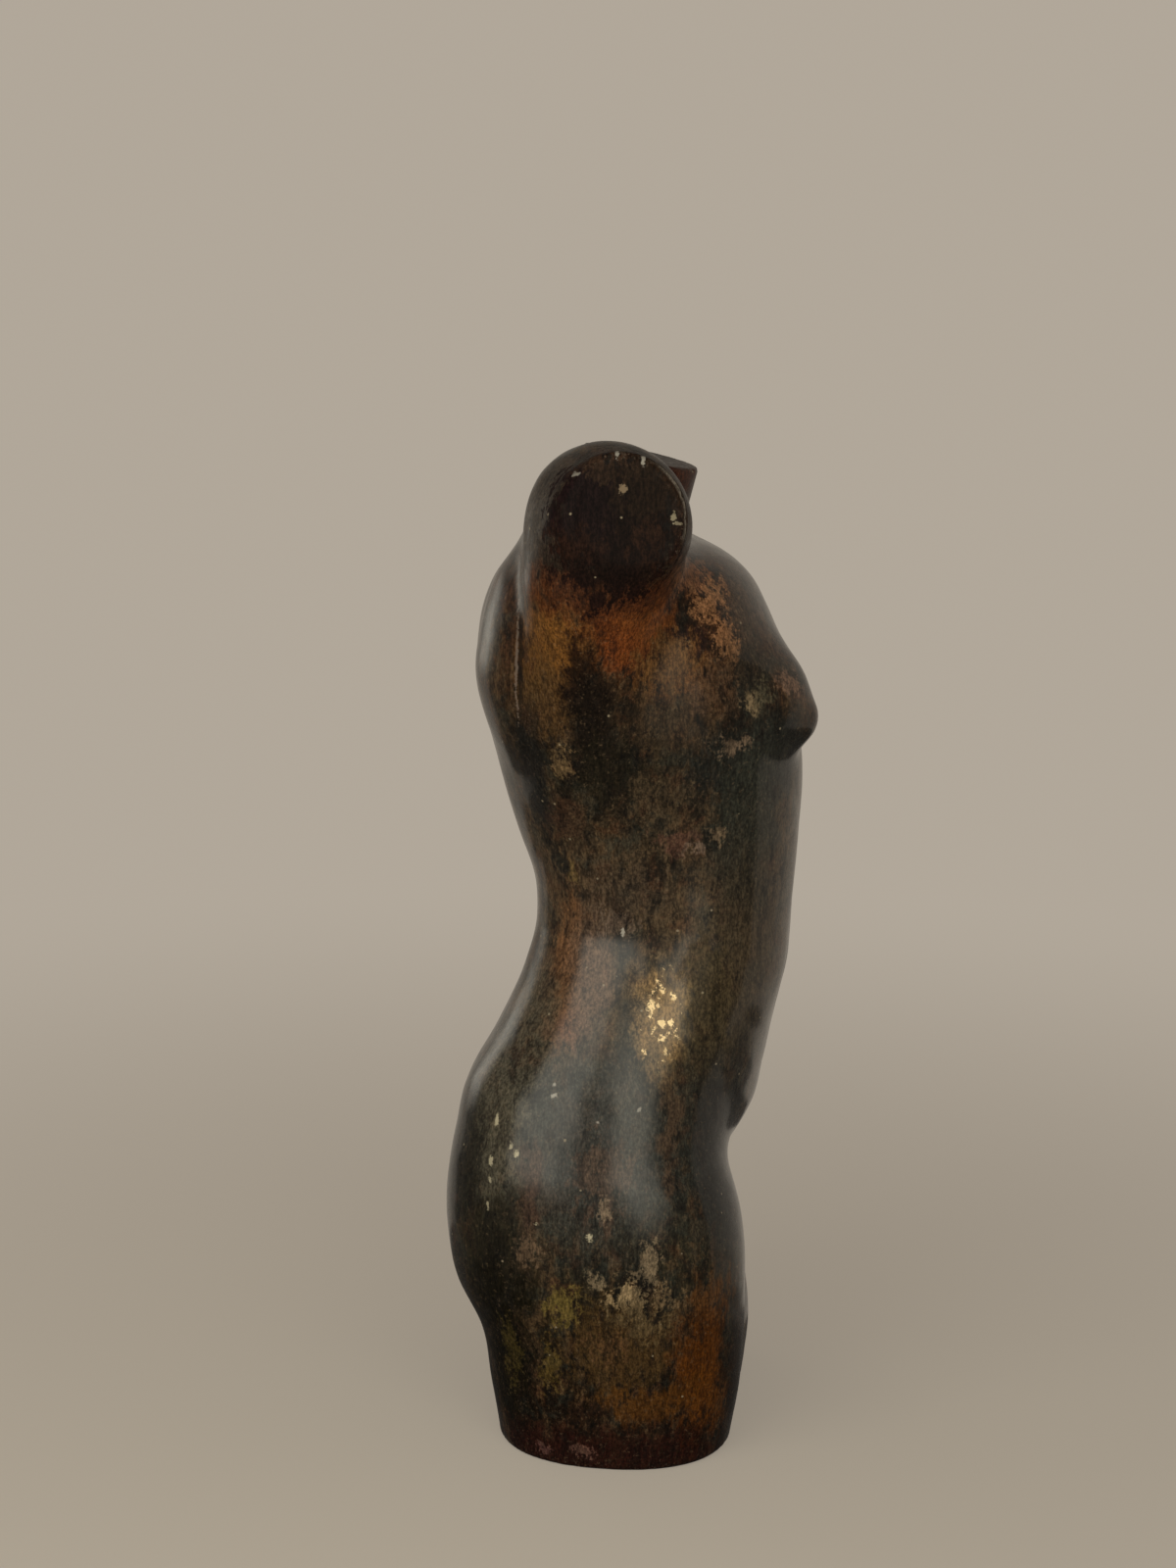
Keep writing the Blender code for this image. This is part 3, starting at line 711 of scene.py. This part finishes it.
# The raised arm's cut: a dark patch, and what lies over it
ARM_END = ((-122, 0, 466), (24, 36, 38), (0.016, 0.005, 0.004), 0.95, 0.8, 0.16)
ARM_PATCHES = {
    "purple": ((-124, 12, 476), (20, 14, 22), (0.019, 0.006, 0.009), 0.8, 0.9, 0.4),
    "olive": ((-118, -14, 480), (20, 14, 18), (0.040, 0.021, 0.011), 0.8, 1.4, 0.4),
    "ember back": ((-124, 18, 456), (20, 10, 6), (0.055, 0.020, 0.011), 0.75, 1.8, 0.35),
    "ember front": ((-118, -14, 458), (20, 8, 10), (0.060, 0.022, 0.011), 0.75, 1.8, 0.35),
    "ember top": ((-122, 6, 490), (20, 12, 6), (0.085, 0.046, 0.026), 0.7, 1.8, 0.35),
}
# A painted highlight: the thin pale line along the front of its rim, and how near the rim it shows
RIM_HIGHLIGHT = ((-114, -32, 482), (22, 17, 24), (0.330, 0.290, 0.240), 0.75, 0.3, 0.3)
RIM_HIGHLIGHT_RANGE = (0.55, 0.95)
# The neck's cut
NECK_END = ((-10, -18, 485), (40, 45, 16), (0.080, 0.022, 0.012), 0.8, 0.8, 0.4)
# Where the lacquer is thin, the same on both sides: centre and reach in millimetres, how much of it is gone
THIN_RAGGED, THIN_SOFT = 0.3, 0.35
THIN_LACQUER = {
    "ribs and chest": ((98, 4, 380), (75, 62, 92), 0.75),
    "thigh": ((95, 0, 36), (60, 85, 76), 0.92),
    "back of the waist": ((58, 56, 256), (30, 14, 34), 0.60),
    "front of the waist": ((62, -38, 242), (30, 11, 26), 0.85),
    "arm end": ((124, 0, 472), (48, 78, 60), 0.97),
    "neck": ((0, 20, 485), (50, 60, 30), 0.80),
}
# Gloss: roughness of the paint from and to, and of the arm's cut; relief of the mottle: strength and metres
PAINT_ROUGH, ARM_END_ROUGH = (0.38, 0.60), 0.85
RELIEF_STRENGTH, RELIEF_DEPTH = 0.25, 0.0003
PAINT_SPECULAR, LACQUER_ROUGH, LACQUER_IOR = 0.10, 0.14, 1.5


def grouped(tree, group, **given):
    """One node of a group, with its sockets set or linked."""
    node = tree.nodes.new("ShaderNodeGroup")
    node.node_tree = group
    for name, value in given.items():
        if isinstance(value, bpy.types.NodeSocket):
            tree.links.new(value, node.inputs[name])
        else:
            node.inputs[name].default_value = value
    return node.outputs


def spot(tree, group, place, mottle, centre, reach, ragged, soft, strength):
    """Mask of one soft patch, with its centre and reach in millimetres."""
    return grouped(tree, group, Place=place, Mottle=mottle, Centre=metres(centre), Reach=metres(reach),
                   Ragged=ragged, Soft=soft, Strength=strength)["Mask"]


def ground_colour(tree, height):
    """The ground's colour, eased from one height to the next."""
    ramp = tree.nodes.new("ShaderNodeValToRGB")
    tree.links.new(sums(tree, "DIVIDE", height, HEIGHT), ramp.inputs["Fac"])
    stops = ramp.color_ramp.elements
    stops.remove(stops[1])
    for number, (at, tint) in enumerate(GROUND.items()):
        stop = stops.new(at / HEIGHT) if number else stops[0]
        stop.position = at / HEIGHT
        stop.color = colour(*tint)
    return ramp.outputs["Color"]


def in_layers(tree, skin, patterns, layers):
    """Thin layers over a colour, each where its pattern says."""
    for name, start, full, most, tint in layers:
        skin = lay(tree, skin, colour(*tint), ease(tree, patterns[name], start, full, 0.0, most))
    return skin


def lacquered_resin():
    """Patina in layers under clear lacquer: ground by height, patches, flecks, leaf, hollows and wear, with
    painted shade and highlights among them.
    """
    material = bpy.data.materials.new("lacquered resin")
    material.use_nodes = True
    tree = material.node_tree
    shader = tree.nodes["Principled BSDF"]
    patch, flakes = soft_patch_group(), flake_group()
    place = put(tree, "TexCoord", out=3)

    # The hidden left side takes the right side's patches turned front to back and lifted
    across = put(tree, "SeparateXYZ", {"Vector": place})
    left = sums(tree, "GREATER_THAN", across, LEFT_FROM)
    swapped = put(tree, "Mapping", {"Vector": place, "Location": LEFT_MOVE, "Scale": LEFT_TURN})
    sided = put(tree, "Mix", {0: left, 4: place, 5: swapped}, out=1, data_type="VECTOR")

    # Coordinates pushed about, so that no patch has an even edge
    push = push_by(tree, place, *PUSH)
    warped = moved(tree, place, push)
    sided_warped = moved(tree, sided, push)
    spaces = {
        "own": place,
        "warped": warped,
        "tall": drawn_out(tree, place, TALL),
        "stretched": drawn_out(tree, warped, STRETCHED),
        "combed": drawn_out(tree, place, COMBED),
    }
    patterns = {}
    for name, (space, scale, detail, roughness, low, high) in PATTERNS.items():
        patterns[name] = ease(tree, noise(tree, spaces[space], scale, detail, roughness), low, high)
    mottle, crumb = patterns["mottle"], patterns["crumb"]

    def daub(under, values, place, mottle):
        """One patch laid over a colour."""
        centre, reach, tint, strength, ragged, soft = values
        mask = spot(tree, patch, place, mottle, centre, reach, ragged, soft, strength)
        return lay(tree, under, colour(*tint), mask)

    # Ground, patches, crumbled flecks, and what lies over them
    height = put(tree, "SeparateXYZ", {"Vector": warped}, out=2)
    skin = in_layers(tree, ground_colour(tree, height), patterns, GROUND_LAYERS)
    for values in PATCHES.values():
        skin = daub(skin, values, sided_warped, mottle)
    crumbled = sums(tree, "MULTIPLY_ADD", crumb, FLECK_CRUMB, sums(tree, "MULTIPLY", mottle, FLECK_MOTTLE))
    for values in FLECKS.values():
        skin = daub(skin, (*values, FLECK_RAGGED, FLECK_SOFT), sided_warped, crumbled)
    skin = in_layers(tree, skin, patterns, TOP_LAYERS)
    # Painted highlight: a warm glow round the leaf
    skin = daub(skin, LEAF_PAINTED_GLOW, sided_warped, mottle)

    # The raised arm's cut and the neck's cut
    centre, reach, tint, strength, ragged, soft = ARM_END
    arm_end = spot(tree, patch, warped, mottle, centre, reach, ragged, soft, strength)
    skin = lay(tree, skin, colour(*tint), arm_end)
    for values in (*ARM_PATCHES.values(), NECK_END):
        skin = daub(skin, values, warped, mottle)

    # Painted shade in the hollows, wear on the rims, and a painted highlight along the front of the arm cut's
    # rim
    hollow = put(tree, "Attribute", out=2, attribute_name="hollow")
    rim = put(tree, "Attribute", out=2, attribute_name="rim")
    skin = lay(tree, skin, colour(*HOLLOW_COLOUR), sums(tree, "MULTIPLY", hollow, HOLLOW_SHARE))
    skin = lay(tree, skin, colour(*WEAR_COLOUR), sums(tree, "MULTIPLY", rim, ease(tree, crumb, *WEAR)))
    # Painted highlight: a thin pale line along the front of the arm cut's rim
    centre, reach, tint, strength, ragged, soft = RIM_HIGHLIGHT
    near_rim_highlight = spot(tree, patch, place, mottle, centre, reach, ragged, soft, strength)
    skin = lay(tree, skin, colour(*tint), sums(tree, "MULTIPLY", ease(tree, rim, *RIM_HIGHLIGHT_RANGE), near_rim_highlight))

    # Upright grain and fine grain
    upright = ease(tree, patterns["comb"], 0.0, 1.0, *COMB_SHADE)
    fine = ease(tree, patterns["speck"], 0.0, 1.0, *SPECK_SHADE)
    grain = sums(tree, "MULTIPLY", upright, fine)
    skin = lay(tree, skin, put(tree, "CombineColor", {0: grain, 1: grain, 2: grain}), 1.0, "MULTIPLY")

    # Leaf flakes at the waist, fine marks, and scattered specks
    centre, reach, tint, strength, ragged, soft = LEAF
    zone = spot(tree, patch, sided_warped, crumb, centre, reach, ragged, soft, strength)
    bent = moved(tree, sided, push_by(tree, place, *TORN))
    bent = put(tree, "Mapping", {"Vector": bent, "Rotation": LEAF_TURN, "Scale": LEAF_STRETCH})
    sizes = []
    for scale, share, core in (LARGE_FLAKES, SMALL_FLAKES):
        sizes.append(grouped(tree, flakes, Place=bent, Scale=scale, Share=share, Core=core)["Mask"])
    leaf = sums(tree, "MULTIPLY", sums(tree, "MAXIMUM", *sizes), zone)
    skin = lay(tree, skin, colour(*tint), leaf)
    slight = put(tree, "VectorMath", {0: push, "Scale": MARK_PUSH_SHARE}, operation="SCALE")
    shaken = moved(tree, sided, slight)
    for values in MARKS.values():
        skin = daub(skin, (*values, MARK_RAGGED, MARK_SOFT), shaken, crumb)
    scale, share, core = SPECKS
    specks = grouped(tree, flakes, Place=shaken, Scale=scale, Share=share, Core=core)["Mask"]
    skin = lay(tree, skin, colour(*SPECK_COLOUR), sums(tree, "MULTIPLY", specks, SPECK_SHARE))

    # Lacquer, thin in places
    beside = sums(tree, "ABSOLUTE", put(tree, "SeparateXYZ", {"Vector": warped}))
    along = put(tree, "SeparateXYZ", {"Vector": warped}, out=1)
    folded = put(tree, "CombineXYZ", {0: beside, 1: along, 2: height})
    bare = 0.0
    for centre, reach, gone in THIN_LACQUER.values():
        mask = spot(tree, patch, folded, mottle, centre, reach, THIN_RAGGED, THIN_SOFT, gone)
        bare = sums(tree, "MAXIMUM", mask, bare)
    lacquer = sums(tree, "SUBTRACT", 1.0, bare)
    matt = ease(tree, mottle, 0.0, 1.0, *PAINT_ROUGH)
    matt = sums(tree, "MAXIMUM", matt, sums(tree, "MULTIPLY", arm_end, ARM_END_ROUGH))

    tree.links.new(skin, shader.inputs["Base Color"])
    tree.links.new(leaf, shader.inputs["Metallic"])
    tree.links.new(matt, shader.inputs["Roughness"])
    tree.links.new(lacquer, shader.inputs["Coat Weight"])
    relief = put(tree, "Bump", {"Height": mottle, "Strength": RELIEF_STRENGTH, "Distance": RELIEF_DEPTH})
    tree.links.new(relief, shader.inputs["Normal"])
    shader.inputs["Specular IOR Level"].default_value = PAINT_SPECULAR
    shader.inputs["Coat Roughness"].default_value = LACQUER_ROUGH
    shader.inputs["Coat IOR"].default_value = LACQUER_IOR
    return material


# The stage: a round pale sweep and soft lamps
FLOOR_RADIUS, BEND_RADIUS, SWEEP_TOP = 2.2, 1.2, 4.2
STAGE_COLOUR = (0.440, 0.388, 0.322)
FLOOR_COLOUR = (0.700, 0.625, 0.530)
ROOM_COLOUR = (0.060, 0.054, 0.047)
GLOW_AT_MIDDLE, GLOW_ON_FIGURE, GLOW_FROM, GLOW_TO = 0.50, 0.70, 0.1, 1.3
FLOOR_ROWS, BEND_ROWS, ROUND_ROWS = 24, 25, 97
# The far side of the sweep shows in the lacquer; the near side, where the lamps stand, doesn't
FAR_SIDE, NEAR_SIDE, LOW_WALL_FOOT = (0, 150), (150, 360), -1.2


def carried_round(name, out, up, start_deg, end_deg):
    """A profile of distances out and heights, carried round the upright from one bearing to another."""
    turn = np.radians(np.linspace(start_deg, end_deg, ROUND_ROWS))[:, None]
    places = np.stack([out * np.sin(turn), -out * np.cos(turn), up + turn * 0], -1)
    index = np.arange(places[..., 0].size).reshape(places.shape[:2])
    quads = np.stack([index[:-1, :-1], index[:-1, 1:], index[1:, 1:], index[1:, :-1]], -1).reshape(-1, 4)
    mesh = bpy.data.meshes.new(name)
    mesh.from_pydata(places.reshape(-1, 3).tolist(), [], quads.tolist())
    mesh.shade_smooth()
    part = bpy.data.objects.new(name, mesh)
    bpy.context.scene.collection.objects.link(part)
    part.data.materials.append(stage_material(name))
    return part


def stage_material(name):
    """Matt near the figure, and an even soft glow further out, which falls on the figure more weakly."""
    material = bpy.data.materials.new(name)
    material.use_nodes = True
    tree = material.node_tree
    tree.nodes.remove(tree.nodes["Principled BSDF"])
    seen = put(tree, "LightPath")
    strength = ease(tree, seen, 0.0, 1.0, GLOW_ON_FIGURE, 1.0)
    matt = put(tree, "BsdfDiffuse", {"Color": colour(*FLOOR_COLOUR)})
    glow = put(tree, "Emission", {"Color": colour(*STAGE_COLOUR), "Strength": strength})
    place = put(tree, "TexCoord", out=3)
    distance = put(tree, "VectorMath", {0: place}, out=1, operation="LENGTH")
    share = ease(tree, distance, GLOW_FROM, GLOW_TO, GLOW_AT_MIDDLE, 1.0)
    both = put(tree, "MixShader", {0: share, 1: matt, 2: glow})
    tree.links.new(both, tree.nodes["Material Output"].inputs["Surface"])
    return material


# Soft lamps: bearing and height seen from the hip and lean of the top towards the back, in degrees;
# distance, half width and half height, in metres; brightness, how much of the half is soft edge, colour
AIM = (0.0, 0.0, 0.20)
LAMPS = {
    "back window": (-118, 22, 0, 1.0, 0.50, 0.64, 1.75, 0.62, (1.00, 0.98, 0.84)),
    "front window": (-67, 17, 28, 1.0, 0.45, 0.80, 1.65, 0.83, (1.00, 0.98, 0.82)),
    "pale room": (-84, 8, 0, 1.15, 0.75, 0.40, 0.10, 0.50, (1.00, 0.96, 0.84)),
    "far back window": (147, 9, 0, 1.6, 0.58, 0.44, 1.00, 0.85, (1.00, 0.95, 0.82)),
    "overhead": (-84, 68, 0, 1.9, 0.80, 0.80, 0.12, 0.60, (1.00, 0.96, 0.88)),
}


def soft_lamp(name, bearing, rise, lean, distance, half_width, half_height, brightness, soft, tint):
    """A glowing panel that faces the figure, fades towards its edges and lets the light behind it through."""
    bearing, rise = np.radians(bearing), np.radians(rise)
    way = Vector((np.sin(bearing) * np.cos(rise), -np.cos(bearing) * np.cos(rise), np.sin(rise)))
    mesh = bpy.data.meshes.new(name)
    corners = [(-1, -1, 0), (1, -1, 0), (1, 1, 0), (-1, 1, 0)]
    mesh.from_pydata(corners, [], [(3, 2, 1, 0)])
    material = bpy.data.materials.new(name)
    material.use_nodes = True
    tree = material.node_tree
    tree.nodes.remove(tree.nodes["Principled BSDF"])
    place = put(tree, "TexCoord", out=3)
    fade = brightness
    for axis in (0, 1):
        off = sums(tree, "ABSOLUTE", put(tree, "SeparateXYZ", {"Vector": place}, out=axis))
        fade = sums(tree, "MULTIPLY", ease(tree, off, 1.0, 1.0 - soft), fade)
    glow = put(tree, "Emission", {"Color": colour(*tint), "Strength": fade})
    clear = put(tree, "BsdfTransparent")
    both = put(tree, "AddShader", {0: glow, 1: clear})
    tree.links.new(both, tree.nodes["Material Output"].inputs["Surface"])
    mesh.materials.append(material)
    lamp = bpy.data.objects.new(name, mesh)
    lamp.location = Vector(AIM) + way * distance
    lamp.rotation_mode = "QUATERNION"
    lean = Quaternion((0.0, 0.0, 1.0), np.radians(lean))
    lamp.rotation_quaternion = way.to_track_quat("Z", "Y") @ lean
    lamp.scale = (half_width, half_height, 1.0)
    lamp.visible_camera = False
    bpy.context.scene.collection.objects.link(lamp)


# The camera, fitted to the photograph's 1200 by 1600: lens and sensor in millimetres, place, and its own
# right, up and back
CAMERA_LENS, CAMERA_SENSOR = 65.18, 36.0
CAMERA_PLACE = (-1.39770, -0.14451, 0.57110)
CAMERA_AXES = (
    (0.12472396, -0.99207086, 0.01547059),
    (0.16972957, 0.03669586, 0.98480723),
    (-0.97756627, -0.12020324, 0.17296061),
)


def camera_at_photo_angle():
    """The photograph's camera, with the long side of the picture upright."""
    view = bpy.data.cameras.new("camera")
    view.sensor_width = CAMERA_SENSOR
    view.lens = CAMERA_LENS
    camera = bpy.data.objects.new("camera", view)
    axes = Matrix(CAMERA_AXES).transposed()
    camera.matrix_world = Matrix.LocRotScale(Vector(CAMERA_PLACE), axes, None)
    bpy.context.scene.collection.objects.link(camera)
    bpy.context.scene.camera = camera


def stage():
    """Floor, sweep, lamps, the dim room and the camera."""
    flat = np.linspace(0.0, FLOOR_RADIUS, FLOOR_ROWS)
    floor = carried_round("floor", flat, flat * 0, 0, 360)
    floor.visible_glossy = False
    bend = np.radians(np.linspace(0, 90, BEND_ROWS))
    out = np.append(FLOOR_RADIUS + BEND_RADIUS * np.sin(bend), FLOOR_RADIUS + BEND_RADIUS)
    up = np.append(BEND_RADIUS * (1 - np.cos(bend)), SWEEP_TOP)
    carried_round("backdrop", out, up, *FAR_SIDE)
    near = carried_round("near backdrop", out, up, *NEAR_SIDE)
    near.visible_glossy = False
    carried_round("low wall", np.array([out[-1], out[-1]]), np.array([LOW_WALL_FOOT, 0.0]), *FAR_SIDE)
    for name, values in LAMPS.items():
        soft_lamp(name, *values)
    world = bpy.data.worlds.new("room")
    bpy.context.scene.world = world
    world.use_nodes = True
    world.node_tree.nodes["Background"].inputs["Color"].default_value = colour(*ROOM_COLOUR)
    bpy.context.scene.view_settings.view_transform = "Standard"
    camera_at_photo_angle()


skin = torso_skin()
skin.data.materials.append(lacquered_resin())
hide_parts("torso")
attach(skin, "root")
stage()
